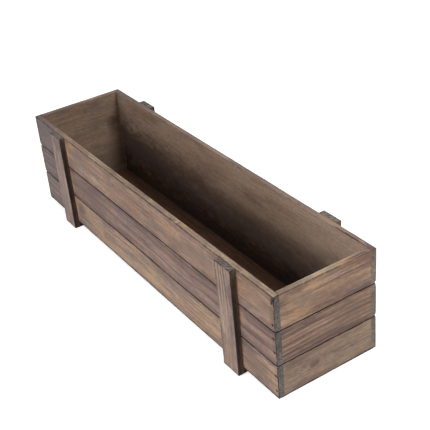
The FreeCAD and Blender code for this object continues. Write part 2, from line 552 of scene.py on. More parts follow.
class SmokyStain(SharedGroup):
    """Turns the masks of the grain and the edges into a stained board's colour, gloss and relief."""

    name = "Smoky stain"
    stains = ("body", "pale", "warm", "dark", "smoke", "burn")
    depths = (
        "ring_depth", "streak_depth", "hair_depth", "gleam_depth", "fibre_depth", "mottle_depth",
        "smoke_amount", "warm_amount")
    masks = (
        "rings", "streak", "hair", "gleam", "fibre", "mottle", "cloud", "haze", "grey", "warmth", "fleck",
        "eye", "scorch", "brown", "rub_and_highlight")
    inputs = {SocketKind.RGBA: stains, SocketKind.VALUE: depths + masks}
    # What is laid over the colour, in order: the mask, its depth and the stain that it brings.
    grain_layers = (
        ("streak", "streak_depth", "dark"), ("rings", "ring_depth", "dark"), ("hair", "hair_depth", "dark"),
        ("gleam", "gleam_depth", "pale"))
    # The pale rub along the edges is partly wear and partly a painted edge highlight.
    wear_layers = (
        ("fleck", 0.35, "pale"), ("brown", 0.4, "dark"), ("eye", 0.6, "dark"), ("scorch", 1.0, "burn"),
        ("rub_and_highlight", 0.5, "pale"))
    gloss_start = 0.56
    gloss_weights = {"fibre": 0.14, "scorch": 0.12}
    relief_weights = {"fibre": 0.55, "rings": 0.5, "hair": -0.5, "eye": -0.4}

    def wire(self, sheet: Sheet, given: Outputs) -> dict[str, Socket]:
        """Fills the group with nodes.

        Args:
            sheet: The group's own tree.
            given: The sockets of the group's inputs.

        Returns:
            The colour, the gloss and the relief, by name.
        """
        colour = sheet.blend(given["cloud"], given["body"], given["pale"])
        colour = sheet.blend(sheet.times(given["warmth"], given["warm_amount"]), colour, given["warm"])
        smoke = sheet.times(given["haze"], given["smoke_amount"])
        colour = sheet.blend(sheet.maths("MAXIMUM", smoke, given["grey"]), colour, given["smoke"])
        for mask, depth, stain in self.grain_layers:
            colour = sheet.blend(sheet.times(given[mask], given[depth]), colour, given[stain])
        tone = 1.0
        for mask, depth in (("fibre", "fibre_depth"), ("mottle", "mottle_depth")):
            tone = sheet.plus(tone, sheet.times(sheet.minus(given[mask], 0.5), given[depth]))
        colour = sheet.scaled(colour, tone)
        for mask, depth, stain in self.wear_layers:
            colour = sheet.blend(sheet.times(given[mask], depth), colour, given[stain])
        return {
            "colour": colour,
            "gloss": sheet.weighed(self.gloss_start, given, self.gloss_weights),
            "relief": sheet.weighed(0.0, given, self.relief_weights),
        }


class SoftMark(SharedGroup):
    """A ragged spot at one place of a board."""

    name = "Soft mark"
    inputs = {SocketKind.VECTOR: ("place", "centre", "size"), SocketKind.VALUE: ("strength",)}
    ragged = Cloud((70, 160, 190), 4, 0.65)
    ragged_gain = 1.6
    outline = (1.9, 1.0)

    def wire(self, sheet: Sheet, given: Outputs) -> dict[str, Socket]:
        """Fills the group with nodes.

        Args:
            sheet: The group's own tree.
            given: The sockets of the group's inputs.

        Returns:
            The mask of the spot, by name.
        """
        apart = sheet.vector("SUBTRACT", given["place"], given["centre"])
        apart = sheet.length(sheet.vector("DIVIDE", apart, given["size"]))
        ragged = sheet.times(self.ragged.raw(sheet, given["place"]), self.ragged_gain)
        inside = sheet.fade(sheet.plus(apart, ragged), *self.outline)
        return {"mask": sheet.times(inside, given["strength"])}


@dataclass(frozen=True)
class Mark:
    """A smudge, a pale patch or a patch of painted light or shade on a board, placed in millimetres of the
    board's own axes.
    """

    along: float
    up: float
    length: float
    height: float
    colour: Triple
    strength: float = 0.55
    out: float = 0.0
    thick: float = 1000.0

    def blend(self, sheet: Sheet, own: Socket, colour: Socket) -> Socket:
        """Lays the mark over a colour.

        Args:
            sheet: The material's tree.
            own: The place on the board, in its own axes.
            colour: The colour so far.

        Returns:
            The colour with the mark.
        """
        centre = [value * MM for value in (self.along, self.out, self.up)]
        size = [value * MM for value in (self.length, self.thick, self.height)]
        spot = SoftMark().place(sheet, place=own, centre=centre, size=size, strength=self.strength)
        return sheet.blend(spot["mask"], colour, linear(self.colour))


@dataclass(frozen=True)
class StainedWood:
    """The finish of one face of a board: its display colours and how its grain lies."""

    body: Triple = (142, 117, 103)
    pale: Triple = (172, 146, 126)
    warm: Triple = (176, 140, 108)
    dark: Triple = (84, 64, 61)
    smoke: Triple = (120, 108, 107)
    burn: Triple = (34, 26, 23)
    seed: float = 1.0
    pith: Pair = (-0.045, 0.004)
    taper: float = 0.02
    pitch: float = 0.0042
    wander: float = 0.03
    ring_depth: float = 0.35
    rings_shown: Optional[Pair] = None
    streak_cover: float = 0.3
    streak_depth: float = 0.45
    hair_depth: float = 0.45
    gleam_depth: float = 0.5
    smoke_amount: float = 0.5
    warm_amount: float = 0.4
    mottle_depth: float = 0.9
    fibre_depth: float = 0.4
    grey: Optional[Pair] = None
    grey_amount: float = 0.5
    reach: float = 0.0015
    scorch_amount: float = 1.0
    scorched_ends: bool = True
    scorched: bool = True
    knot: Optional[Pair] = None
    knot_size: float = 0.005
    marks: tuple[Mark, ...] = ()
    bump: float = 0.35
    bump_height: float = 0.5 * MM
    specular: float = 0.18

    def chosen(self, names: tuple[str, ...]) -> dict[str, Any]:
        """Returns some of the finish's values, by name."""
        return {name: getattr(self, name) for name in names}

    def masks(self, sheet: Sheet, own: Socket, seat: Seat) -> dict[str, Socket]:
        """Adds the masks of a board's grain and edges.

        Args:
            sheet: The material's tree.
            own: The place on the board, in its own axes.
            seat: Where the board lies.

        Returns:
            The masks by name.
        """
        knot = (self.knot[0], 0.0, self.knot[1]) if self.knot else NO_KNOT
        made = BoardGrain().place(
            sheet, place=own, pith=(0.0, *self.pith), knot=knot, **self.chosen(BoardGrain.values))
        if self.grey:
            greyed = sheet.fade(sheet.parts(own)[0], *self.grey)
            made["grey"] = sheet.times(greyed, self.grey_amount)
        if self.rings_shown:
            shown = sheet.fade(sheet.parts(own)[0], *self.rings_shown)
            made["rings"] = sheet.times(made["rings"], shown)
        if self.scorched:
            half = seat.half if self.scorched_ends else seat.half + FAR_ENDS
            made.update(BoardEdge().place(sheet, place=own, half=half, **self.chosen(BoardEdge.values)))
            made["scorch"] = sheet.times(made["scorch"], self.scorch_amount)
        return made

    def material(self, name: str, seat: Seat) -> bpy.types.Material:
        """Makes the finish for a board, or for several that read as one sheet.

        Args:
            name: The material's name.
            seat: Where the board lies.

        Returns:
            The new material.
        """
        made, sheet, surface = new_material(name)
        back = seat.turn.transposed()
        to_own = {
            "Vector": sheet.node("ShaderNodeTexCoord")["Object"],
            "Rotation": back.to_euler("XYZ"),
            "Location": -(back @ seat.middle),
        }
        own = sheet.node("ShaderNodeMapping", to_own, vector_type="POINT")[0]
        stains = {key: linear(value) for key, value in self.chosen(SmokyStain.stains).items()}
        stain = SmokyStain().place(
            sheet, **stains, **self.chosen(SmokyStain.depths), **self.masks(sheet, own, seat))
        colour = stain["colour"]
        for mark in self.marks:
            colour = mark.blend(sheet, own, colour)
        relief = {"Strength": self.bump, "Distance": self.bump_height, "Height": stain["relief"]}
        sheet.fill(surface, {
            "Base Color": colour,
            "Roughness": stain["gloss"],
            "Specular IOR Level": self.specular,
            "Normal": sheet.node("ShaderNodeBump", relief)[0],
        })
        return made


@dataclass(frozen=True)
class NailSteel:
    """The finish of the nails: blackened wire with a little rust, each value for steel and for rust."""

    colours: tuple[Triple, Triple] = ((24, 22, 21), (40, 28, 22))
    metallic: Pair = (0.85, 0.05)
    roughness: Pair = (0.45, 0.8)
    spots: Cloud = Cloud((900, 900, 900), 3, 0.6, 0.45, 0.62)

    def material(self, name: str) -> bpy.types.Material:
        """Makes the finish.

        Args:
            name: The material's name.

        Returns:
            The new material.
        """
        made, sheet, surface = new_material(name)
        rusty = self.spots.mask(sheet, sheet.node("ShaderNodeTexCoord")["Object"])
        steel, rust = (linear(colour) for colour in self.colours)
        sheet.fill(surface, {"Base Color": sheet.blend(rusty, steel, rust)})
        for key, (clean, rusted) in (("Metallic", self.metallic), ("Roughness", self.roughness)):
            sheet.fill(surface, {key: sheet.plus(clean, sheet.times(rusty, rusted - clean))})
        return made


@dataclass(frozen=True)
class Wear:
    """How far the edges of a board are rounded, how uneven they are, and where its gaps are."""

    outer_top: float = 1.0 * MM
    outer_bottom: float = 1.0 * MM
    inner_top: float = 0.0
    inner_bottom: float = 0.0
    gap_top: float = 0.0
    gap_bottom: float = 0.0
    gap_depth: float = 2.1 * MM
    gap_ease: float = 0.2 * MM
    gap_at_ends: bool = False
    butted: bool = False
    end_gain: float = 0.5
    butt_loss: float = 0.8
    corner_spread: float = 4.0 * MM
    roundest: float = 0.9
    uneven: float = 0.14 * MM
    swell_cells: float = 16.0
    slow_cells: float = 30.0
    quick_cells: float = 190.0
    gap_chance: float = 0.25
    slow_chance: float = 0.45
    quick_chance: float = 0.35

    def gap(self, own: Vector) -> float:
        """Returns the gap over or under a point of the board."""
        return self.gap_top if own.z > 0.0 else self.gap_bottom

    def radius(self, own: Vector, half: Vector) -> float:
        """Gives the rounding near a point.

        Args:
            own: The point, in the board's own axes.
            half: The board's half sizes.

        Returns:
            The radius of the nearest edge, before chance changes it.
        """
        out = smooth(own.y / half.y, -0.5, 0.5)
        top = smooth(own.z / half.z, -0.5, 0.5)
        outer = self.outer_bottom + (self.outer_top - self.outer_bottom) * top
        inner = self.inner_bottom + (self.inner_top - self.inner_bottom) * top
        to_end = (half.x - abs(own.x)) / self.corner_spread
        to_side = (half.z - abs(own.z)) / self.corner_spread
        gain = 0.0
        if self.butted:
            gain = -self.butt_loss * math.exp(-to_end * to_end)
        elif self.gap(own) > 0.0:
            gain = self.end_gain * math.exp(-(to_end * to_end) - to_side * to_side)
        return (inner + (outer - inner) * out) * (1.0 + gain)


@dataclass(frozen=True)
class Chip:
    """A bruise that takes more off an edge at one place of the box."""

    place: Triple
    spread: float
    depth: float


@dataclass
class Board:
    """One board cut from a blank, with its edges worn and its faces dressed."""

    node: str
    seat: Seat
    slot: str
    wear: Wear
    finishes: dict[Paint, bpy.types.Material]
    seed: float
    chips: tuple[Chip, ...] = ()
    steps: Triple = (2.6 * MM, 3.4 * MM, 3.4 * MM)
    edge_steps: tuple[float, ...] = (0.0, 0.14 * MM, 0.4 * MM, 0.8 * MM, 1.4 * MM, 2.0 * MM, 2.3 * MM)

    def stations(self, axis: int) -> list[float]:
        """Lists the cuts along one axis of the blank, closer together near the edges.

        Args:
            axis: The axis's number.

        Returns:
            The places of the cuts, from end to end.
        """
        low = [edge - self.seat.half[axis] for edge in self.edge_steps]
        room = -2.0 * low[-1]
        count = max(1, round(room / self.steps[axis]))
        inner = [low[-1] + room * k / count for k in range(1, count)]
        return low + inner + [-place for place in reversed(low)]

    def blank(self) -> Mesh:
        """Cuts the plain blank, finely divided.

        Returns:
            The blank in the board's own axes.
        """
        mesh = bmesh.new()
        bmesh.ops.create_cube(mesh, size=2.0)
        cuts = [self.stations(axis) for axis in range(3)]
        for axis in (0, 2, 1):
            runs = {edge: (edge.verts[0].co - edge.verts[1].co).normalized() for edge in mesh.edges}
            rails = [edge for edge, run in runs.items() if abs(run[axis]) > ALONG_AXIS]
            bmesh.ops.subdivide_edges(mesh, edges=rails, cuts=len(cuts[axis]) - 2, use_grid_fill=True)
        for vert in mesh.verts:
            for axis, places in enumerate(cuts):
                vert.co[axis] = places[round((vert.co[axis] + 1.0) / 2.0 * (len(places) - 1))]
        return mesh

    def worn(self, own: Vector) -> Vector:
        """Moves one point of the blank to the worn surface, never outwards.

        Args:
            own: The point, in the board's own axes.

        Returns:
            The worn point, in the board's own axes.
        """
        wear = self.wear
        half = self.seat.half.copy()
        point = own.copy()
        world = self.seat.placed(own)
        chance = world + Vector([self.seed * stride for stride in SHAPE_STRIDE])
        slow = noise.noise(chance * wear.slow_cells)
        quick = noise.noise(chance * wear.quick_cells)
        depth = half.y - own.y
        if wear.gap_at_ends:
            depth = min(depth, half.x - abs(own.x))
        skin = 1.0 - smooth(depth, wear.gap_depth - wear.gap_ease, wear.gap_depth + wear.gap_ease)
        squeeze = wear.gap(own) * skin * (1.0 + wear.gap_chance * slow)
        point.z *= (half.z - squeeze) / half.z
        half.z -= squeeze
        uneven = 1.0 + wear.slow_chance * slow + wear.quick_chance * quick
        reach = wear.radius(own, self.seat.half) * uneven
        for chip in self.chips:
            apart = (world - Vector(chip.place)).length / chip.spread
            reach += chip.depth * math.exp(-apart * apart)
        reach = min(max(reach, 0.0), wear.roundest * min(half))
        if reach > 0.0:
            core = Vector([min(max(point[i], reach - half[i]), half[i] - reach) for i in range(3)])
            away = point - core
            if away.length > TINY:
                point = core + away.normalized() * reach
        if own.y > 0.0:
            swell = 0.5 + 0.5 * noise.noise(chance * wear.swell_cells)
            point.y -= wear.uneven * swell * smooth(own.y, 0.0, half.y)
        return point

    def side(self, normal: Vector) -> Paint:
        """Tells which finish a face takes.

        Args:
            normal: The face's normal, in the board's own axes.

        Returns:
            The material slot.
        """
        looks = {
            Paint.INSIDE: -normal.y,
            Paint.END: abs(normal.x),
            Paint.RIM: normal.z,
            Paint.SIDE: abs(normal.z),
        }
        for paint, share in looks.items():
            if share > LOOKS_ALONG and paint in self.finishes:
                return paint
        return Paint.FACE

    def build(self, cutters: Mesh) -> None:
        """Makes the board and puts it in the place of its CAD node.

        Args:
            cutters: Closed shapes to take out of it, in the box's axes.
        """
        mesh = self.blank()
        for vert in mesh.verts:
            vert.co = self.worn(vert.co)
        mesh.normal_update()
        for face in mesh.faces:
            face.smooth = True
            face.material_index = self.side(face.normal).value
        bmesh.ops.transform(mesh, matrix=self.seat.turn.to_4x4(), verts=mesh.verts)
        bmesh.ops.translate(mesh, vec=self.seat.middle, verts=mesh.verts)
        piece = self.shown(f"worn_{self.node}", mesh)
        if cutters.verts:
            self.pierce(piece, cutters)
        piece.data.set_sharp_from_angle(angle=SHARP_ANGLE)
        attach(piece, BODY)
        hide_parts(self.node)
        LOG.info("%s: %d faces", piece.name, len(piece.data.polygons))

    def shown(self, name: str, mesh: Mesh) -> bpy.types.Object:
        """Turns a mesh into an object with the board's material slots.

        Args:
            name: The object's name.
            mesh: The mesh, which is freed.

        Returns:
            The object, linked to the scene.
        """
        data = bpy.data.meshes.new(name)
        mesh.to_mesh(data)
        mesh.free()
        for paint in Paint:
            data.materials.append(self.finishes.get(paint, self.finishes[Paint.FACE]))
        made = bpy.data.objects.new(name, data)
        bpy.context.scene.collection.objects.link(made)
        return made

    def pierce(self, piece: bpy.types.Object, cutters: Mesh) -> None:
        """Takes the cutters out of a piece.

        Args:
            piece: The piece to cut.
            cutters: Closed shapes, freed here.
        """
        tool = self.shown(f"{piece.name}_cutter", cutters)
        cut = piece.modifiers.new("cut", "BOOLEAN")
        cut.operation = "DIFFERENCE"
        cut.solver = "EXACT"
        cut.object = tool
        graph = bpy.context.evaluated_depsgraph_get()
        data = bpy.data.meshes.new_from_object(piece.evaluated_get(graph))
        piece.modifiers.clear()
        old = piece.data
        piece.data = data
        data.name = piece.name
        bpy.data.meshes.remove(old)
        bpy.data.meshes.remove(tool.data)


def nail_places(node: str) -> list[tuple[Vector, Vector]]:
    """Finds the nails of a CAD nail group.

    Args:
        node: The CAD node's name.

    Returns:
        The lowest and highest corner of each nail.
    """
    mesh = bmesh.new()
    mesh.from_mesh(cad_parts[node].data)
    bmesh.ops.remove_doubles(mesh, verts=mesh.verts, dist=TOUCHING)
    waiting = set(mesh.verts)
    places = []
    while waiting:
        stack = [waiting.pop()]
        island = []
        while stack:
            vert = stack.pop()
            island.append(vert.co.copy())
            joined = {edge.other_vert(vert) for edge in vert.link_edges} & waiting
            waiting -= joined
            stack.extend(joined)
        places.append(span(island))
    mesh.free()
    return sorted(places, key=lambda pair: tuple(pair[0]))


@dataclass(frozen=True)
class NailHoles:
    """The sunk holes over the nails of one CAD nail group, wider at the mouth than at the bottom."""

    nails: str
    radius: float
    depth: float
    stand: float = 2.0 * MM
    bottom_share: float = 0.8
    mouth_share: float = 1.35
    segments: int = 20

    def add(self, mesh: Mesh, node: str, facing: Facing) -> None:
        """Adds a round cutter for each nail that goes in through a board's show face.

        Args:
            mesh: The cutters so far.
            node: The board's CAD node.
            facing: The way that the board looks.
        """
        out = facing.turn().col[1].copy()
        low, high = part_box(node)
        face = high if sum(out) > 0.0 else low
        turn = out.to_track_quat("Z", "Y").to_matrix().to_4x4()
        for first, last in nail_places(self.nails):
            if not all(first[i] < high[i] and last[i] > low[i] for i in range(3)):
                continue
            middle = (first + last) / 2.0
            centre = Vector([face[i] if abs(out[i]) > MOSTLY else middle[i] for i in range(3)])
            matrix = Matrix.Translation(centre + out * (self.stand - self.depth) / 2.0) @ turn
            made = bmesh.ops.create_cone(
                mesh, cap_ends=True, cap_tris=False, segments=self.segments,
                radius1=self.radius * self.bottom_share, radius2=self.radius * self.mouth_share,
                depth=self.stand + self.depth, matrix=matrix)
            for side in {f for v in made["verts"] for f in v.link_faces}:
                side.material_index = Paint.BORE.value


@dataclass
class PlankWall:
    """One wall of three planks, one above the other."""

    wall: Wall
    facing: Facing
    faces: dict[Row, StainedWood]
    long: bool
    chips: tuple[Chip, ...] = ()
    gap: float = 0.55 * MM
    edge: float = 0.9 * MM
    foot_edge: float = 0.6 * MM
    rim_inner: float = 0.6 * MM
    end_gain: float = 1.3
    holes: NailHoles = NailHoles("corner_brads", 1.75 * MM, 1.5 * MM)
    floor_play: float = 0.3 * MM
    floor_under: float = 1.0 * MM

    def node(self, row: Row) -> str:
        """Returns the CAD node of one row's plank."""
        return f"{self.wall.value}_plank_{row.value}"

    def wear(self, row: Row) -> Wear:
        """Chooses the wear of one row's plank.

        Args:
            row: The plank's row.

        Returns:
            The wear.
        """
        return Wear(
            outer_top=self.edge,
            outer_bottom=self.foot_edge if row is Row.BOTTOM else self.edge,
            inner_top=self.rim_inner if row is Row.TOP else 0.0,
            gap_top=0.0 if row is Row.TOP else self.gap,
            gap_bottom=0.0 if row is Row.BOTTOM else self.gap,
            gap_at_ends=self.long,
            butted=not self.long,
            end_gain=self.end_gain)

    def cutters(self, row: Row) -> Mesh:
        """Collects what is taken out of one row's plank.

        Args:
            row: The plank's row.

        Returns:
            The nail holes of a long plank and the rebate of a bottom one, for the floor board.
        """
        mesh = bmesh.new()
        if self.long:
            self.holes.add(mesh, self.node(row), self.facing)
        if row is Row.BOTTOM:
            floor_low, floor_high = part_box("floor_board")
            play = Vector((self.floor_play, self.floor_play, 0.0))
            floor_low = floor_low - play - UP * self.floor_under
            floor_high = floor_high + play
            size = floor_high - floor_low
            matrix = Matrix.Translation((floor_low + floor_high) / 2.0) @ Matrix.Diagonal((*size, 1.0))
            bmesh.ops.create_cube(mesh, size=1.0, matrix=matrix)
        return mesh

    def build(self) -> None:
        """Makes the three planks and dresses them."""
        whole = Seat.around([self.node(row) for row in Row], self.facing)
        inside = INSIDES[self.wall].material(f"{self.wall.value}_inside", whole)
        for row in Row:
            node = self.node(row)
            face = self.faces[row]
            # Each bottom plank also takes the painted shade line along its foot.
            if row is Row.BOTTOM:
                face = replace(face, marks=(*face.marks, FOOT_SHADE_LINE))
            seat = Seat.around([node], self.facing)
            finishes = {
                Paint.FACE: face.material(f"{node}_face", seat),
                Paint.INSIDE: inside,
                Paint.BORE: BORE.material(f"{node}_bore", seat),
                # The sides in the gaps take the scorched finish with its painted shade.
                Paint.SIDE: SCORCHED_AND_SHADED.material(f"{node}_gap", seat),
            }
            if row is Row.TOP:
                finishes[Paint.RIM] = RIMS[self.wall].material(f"{node}_rim", seat)
            if self.long:
                end = replace(END_GRAINS[self.wall], seed=face.seed + END_SEED)
                finishes[Paint.END] = end.material(f"{node}_end", seat)
            chips = self.chips if row is Row.TOP else ()
            board = Board(node, seat, "plank_wood", self.wear(row), finishes, face.seed, chips)
            board.build(self.cutters(row))


@dataclass
class Strips:
    """Nailed strips of the batten stock that look the same way."""

    facing: Facing
    faces: dict[str, StainedWood]
    holes: NailHoles
    wear: Wear
    end: StainedWood
    side: StainedWood

    def build(self) -> None:
        """Makes the strips, with their nail holes, and dresses them."""
        for node, face in self.faces.items():
            seat = Seat.around([node], self.facing)
            holes = bmesh.new()
            self.holes.add(holes, node, self.facing)
            end = replace(self.end, seed=face.seed + END_SEED)
            side = replace(self.side, seed=face.seed + SIDE_SEED)
            finishes = {
                Paint.FACE: face.material(f"{node}_face", seat),
                Paint.END: end.material(f"{node}_end", seat),
                Paint.SIDE: side.material(f"{node}_side", seat),
                Paint.BORE: BORE.material(f"{node}_bore", seat),
            }
            Board(node, seat, "batten_wood", self.wear, finishes, face.seed).build(holes)


@dataclass
class CarriedPieces:
    """The CAD nodes that stay as they are and only get a finish."""

    floor: StainedWood
    nails: NailSteel
    nail_nodes: tuple[str, ...] = ("corner_brads", "batten_pins", "floor_brads", "runner_brads")

    def build(self) -> None:
        """Gives the floor board and the nails their finishes."""
        seat = Seat.around(["floor_board"], Facing.UNDERSIDE)
        self.assign("floor_board", self.floor.material("floor_board_face", seat))
        steel = self.nails.material("nail_steel")
        for node in self.nail_nodes:
            self.assign(node, steel)

    def assign(self, node: str, material: bpy.types.Material) -> None:
        """Puts a material into every slot of a CAD node.

        Args:
            node: The node's name.
            material: The finish.
        """
        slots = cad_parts[node].data.materials
        if len(slots) == 0:
            slots.append(material)
        for index in range(len(slots)):
            slots[index] = material
        LOG.info("%s: dressed", node)


def seen_glow(sheet: Sheet, bright: Any, dim: float) -> Socket:
    """Adds a brightness that the eye, gloss and glass see, and that other rays see dimmed.

    Args:
        sheet: The tree to add it to.
        bright: The brightness as it is seen.
        dim: The brightness for the rays that light the box.

    Returns:
        The brightness's socket.
    """
    path = sheet.node("ShaderNodeLightPath")
    seen = sheet.maths("MAXIMUM", path["Is Camera Ray"], path["Is Glossy Ray"])
    seen = sheet.maths("MAXIMUM", seen, path["Is Transmission Ray"])
    return sheet.plus(sheet.times(seen, sheet.minus(bright, dim)), dim)


@dataclass(frozen=True)
class PaleFloor:
    """The finish of the studio floor, which brightens to white away from the box."""

    colour: tuple[float, ...] = (0.9, 0.9, 0.9, 1.0)
    roughness: float = 0.9
    glow: float = 0.68
    glow_reach: Pair = (0.7, 2.4)

    def material(self, name: str) -> bpy.types.Material:
        """Makes the finish.

        Args:
            name: The material's name.

        Returns:
            The new material.
        """
        made, sheet, surface = new_material(name)
        away = sheet.length(sheet.node("ShaderNodeTexCoord")["Object"])
        rise = sheet.times(sheet.fade(away, *self.glow_reach), 1.0 - self.glow)
        sheet.fill(surface, {
            "Base Color": self.colour,
            "Roughness": self.roughness,
            "Specular IOR Level": 0.0,
            "Emission Color": WHITE,
            "Emission Strength": seen_glow(sheet, sheet.plus(rise, self.glow), 0.0),
        })
        return made


@dataclass(frozen=True)
class Softbox:
    """A soft studio lamp that looks at the box."""

    name: str
    place: Triple
    size: Pair
    power: float
    aim: Triple = (0.0, 0.0, 0.08)
    spread: float = math.pi

    def build(self) -> None:
        """Makes the lamp."""
        lamp = bpy.data.lights.new(self.name, "AREA")
        lamp.shape = "RECTANGLE"
        lamp.size, lamp.size_y = self.size
        lamp.energy = self.power
        lamp.spread = self.spread
        made = bpy.data.objects.new(self.name, lamp)
        made.location = self.place
        made.rotation_euler = (Vector(self.aim) - Vector(self.place)).to_track_quat("-Z", "Y").to_euler()
        bpy.context.scene.collection.objects.link(made)


@dataclass
class Studio:
    """The pale floor, the soft light and the camera."""

    eye: Triple = (0.9598, -0.5271, 0.7437)
    target: Triple = (0.0198, 0.0365, 0.0791)
    roll: float = math.radians(-5.53)
    lens: float = 78.11
    sensor: float = 36.0
    floor_half: float = 5.0
    floor_cells: int = 8
    floor: PaleFloor = PaleFloor()
    ambient: float = 0.12
    lamps: tuple[Softbox, ...] = (
        Softbox(
            "key_softbox", (-0.15, -1.98, 0.97), (0.9, 1.4), 7.6,
            aim=(0.35, 0.0, 0.08), spread=math.radians(76.0)),
        Softbox("fill_softbox", (1.8, 0.36, 1.2), (0.45, 0.8), 26.0),
        Softbox("top_softbox", (0.2, 0.1, 2.2), (1.2, 0.8), 5.0),
        Softbox("back_softbox", (-1.3, 1.9, 1.1), (0.9, 0.8), 16.0),
    )

    def build(self) -> None:
        """Sets the stage, the lamps and the camera."""
        self.lay_floor()
        self.light_world()
        for lamp in self.lamps:
            lamp.build()
        self.set_camera()
        bpy.context.scene.view_settings.view_transform = "Standard"

    def lay_floor(self) -> None:
        """Lays the pale floor, which keeps the box's shadow."""
        mesh = bmesh.new()
        bmesh.ops.create_grid(
            mesh, x_segments=self.floor_cells, y_segments=self.floor_cells, size=self.floor_half)
        data = bpy.data.meshes.new("floor")
        mesh.to_mesh(data)
        mesh.free()
        data.materials.append(self.floor.material("studio_floor"))
        floor = bpy.data.objects.new("floor", data)
        bpy.context.scene.collection.objects.link(floor)

    def light_world(self) -> None:
        """Makes the world white to the eye and dim to the box."""
        world = bpy.data.worlds.new("studio")
        world.use_nodes = True
        bpy.context.scene.world = world
        sheet = Sheet(world.node_tree)
        sheet.fill(world.node_tree.nodes["Background"].inputs, {
            "Color": WHITE,
            "Strength": seen_glow(sheet, 1.0, self.ambient),
        })

    def set_camera(self) -> None:
        """Sets the camera where the photograph was taken from."""
        eye, target = Vector(self.eye), Vector(self.target)
        ahead = (target - eye).normalized()
        level = ahead.cross(UP).normalized()
        right = level * math.cos(self.roll) + level.cross(ahead) * math.sin(self.roll)
        over = right.cross(ahead)
        data = bpy.data.cameras.new("camera")
        data.lens = self.lens
        data.sensor_width = self.sensor
        data.dof.use_dof = False
        camera = bpy.data.objects.new("camera", data)
        turn = Matrix((right, over, -ahead)).transposed().to_4x4()
        camera.matrix_world = Matrix.Translation(eye) @ turn
        bpy.context.scene.collection.objects.link(camera)
        bpy.context.scene.camera = camera


# The narrow sides of the planks, in the gaps between them: scorched, and dark enough to stand for the shade
# in the gaps as well (painted shade).
SCORCHED_AND_SHADED = StainedWood(
    body=(40, 31, 27), pale=(54, 42, 36), warm=(58, 42, 33), dark=(24, 18, 16), smoke=(46, 42, 41),
    scorched=False, seed=31.0)
# The walls of the nail holes: a near-black copy of the scorched finish, painted shade for the dark inside the
# holes.
BORE = replace(
    SCORCHED_AND_SHADED, body=(18, 13, 11), pale=(26, 20, 17), warm=(28, 19, 15), dark=(10, 8, 7), smoke=(20, 17, 16))
# A dark line painted along the foot of each bottom plank: painted shade on its downward edge, over the scorch
# there.
FOOT_SHADE_LINE = Mark(0, -23.7, WHOLE, 2.5, (14, 10, 8), 2.0)
RIM_CHIP = Chip((0.3048, -0.073, 0.1495), 3.2 * MM, 2.2 * MM)
TAN = StainedWood()
STRIPED = replace(
    TAN, pith=(0.01, -0.22), pitch=0.0062, ring_depth=0.95, wander=0.05, smoke_amount=0.3, warm_amount=0.6)
# Painted shade: the front planks turn greyer and darker towards the left end, for the cooler, dimmer light
# there.
FRONT_TAN = replace(TAN, smoke=(106, 97, 99), grey=(0.16, 0.25), grey_amount=0.7)
FRONT_FACES = {
    Row.BOTTOM: replace(
        FRONT_TAN, body=(143, 118, 101), pale=(164, 138, 117), warm=(176, 144, 110), seed=3.1,
        streak_cover=0.5, streak_depth=0.5, warm_amount=0.45, hair_depth=0.75, gleam_depth=0.95,
        fibre_depth=0.75,
        marks=(
            Mark(183, 6, 15, 12, (92, 82, 78), 0.65), Mark(200, 0, 6, 28, (192, 158, 130), 0.45),
            Mark(60, -14.5, 170, 6, (184, 156, 130), 0.4), Mark(122, -4, 12, 8, (178, 140, 106), 0.6),
            Mark(-20, -8, 60, 6, (188, 160, 128), 0.5), Mark(-264, 0, 36, 24, (106, 88, 78), 0.7))),
    Row.MIDDLE: replace(
        FRONT_TAN, body=(128, 104, 94), pale=(146, 120, 107), dark=(76, 58, 60), seed=5.4,
        streak_cover=0.8, streak_depth=0.6, ring_depth=0.4,
        marks=(
            Mark(130, 16, 50, 6, (80, 62, 64), 0.6), Mark(200, 0, 6, 28, (186, 150, 122), 0.45),
            Mark(130, -2, 84, 24, (98, 80, 77), 0.7), Mark(12, -14, 50, 4, (76, 58, 58), 0.6),
            Mark(-262, -4, 30, 6, (84, 68, 72)), Mark(-241, 8, 8, 12, (166, 132, 104), 0.5))),
    Row.TOP: replace(
        FRONT_TAN, body=(125, 101, 86), pale=(150, 123, 105), seed=8.2, streak_cover=0.4,
        streak_depth=0.55, hair_depth=0.6, gleam_depth=0.65,
        marks=(
            Mark(278, 8, 40, 26, (90, 84, 89), 0.6), Mark(200, 0, 6, 28, (192, 156, 126), 0.5),
            Mark(183, 18, 14, 8, (172, 132, 100), 0.6), Mark(-272, 2, 22, 18, (148, 122, 102), 0.35),
            Mark(137, 8, 25, 10, (140, 104, 88)), Mark(118, -10, 16, 7, (178, 156, 138), 0.5),
            Mark(-150, 0, 60, 18, (118, 97, 87), 0.5), Mark(-187, 16, 18, 9, (98, 80, 80), 0.6),
            Mark(-240, 4, 8, 10, (160, 116, 88), 0.5), Mark(-303, 18.5, 5.5, 6, (24, 19, 17), 1.0))),
}
BACK_FACES = {
    Row.BOTTOM: replace(STRIPED, body=(140, 116, 102), seed=12.1),
    Row.MIDDLE: replace(TAN, body=(144, 120, 105), seed=13.7, pith=(-0.03, -0.01)),
    Row.TOP: replace(TAN, body=(134, 111, 99), seed=15.2, streak_cover=0.55, streak_depth=0.55),
}
END_TAN = replace(TAN, scorched_ends=False)
END_STRIPED = replace(STRIPED, scorched_ends=False)
LEFT_FACES = {
    Row.BOTTOM: replace(END_TAN, body=(134, 113, 101), seed=17.4),
    Row.MIDDLE: replace(END_TAN, body=(146, 121, 105), seed=18.8, pith=(-0.06, 0.01)),
    Row.TOP: replace(END_STRIPED, body=(132, 109, 97), seed=20.3),
}
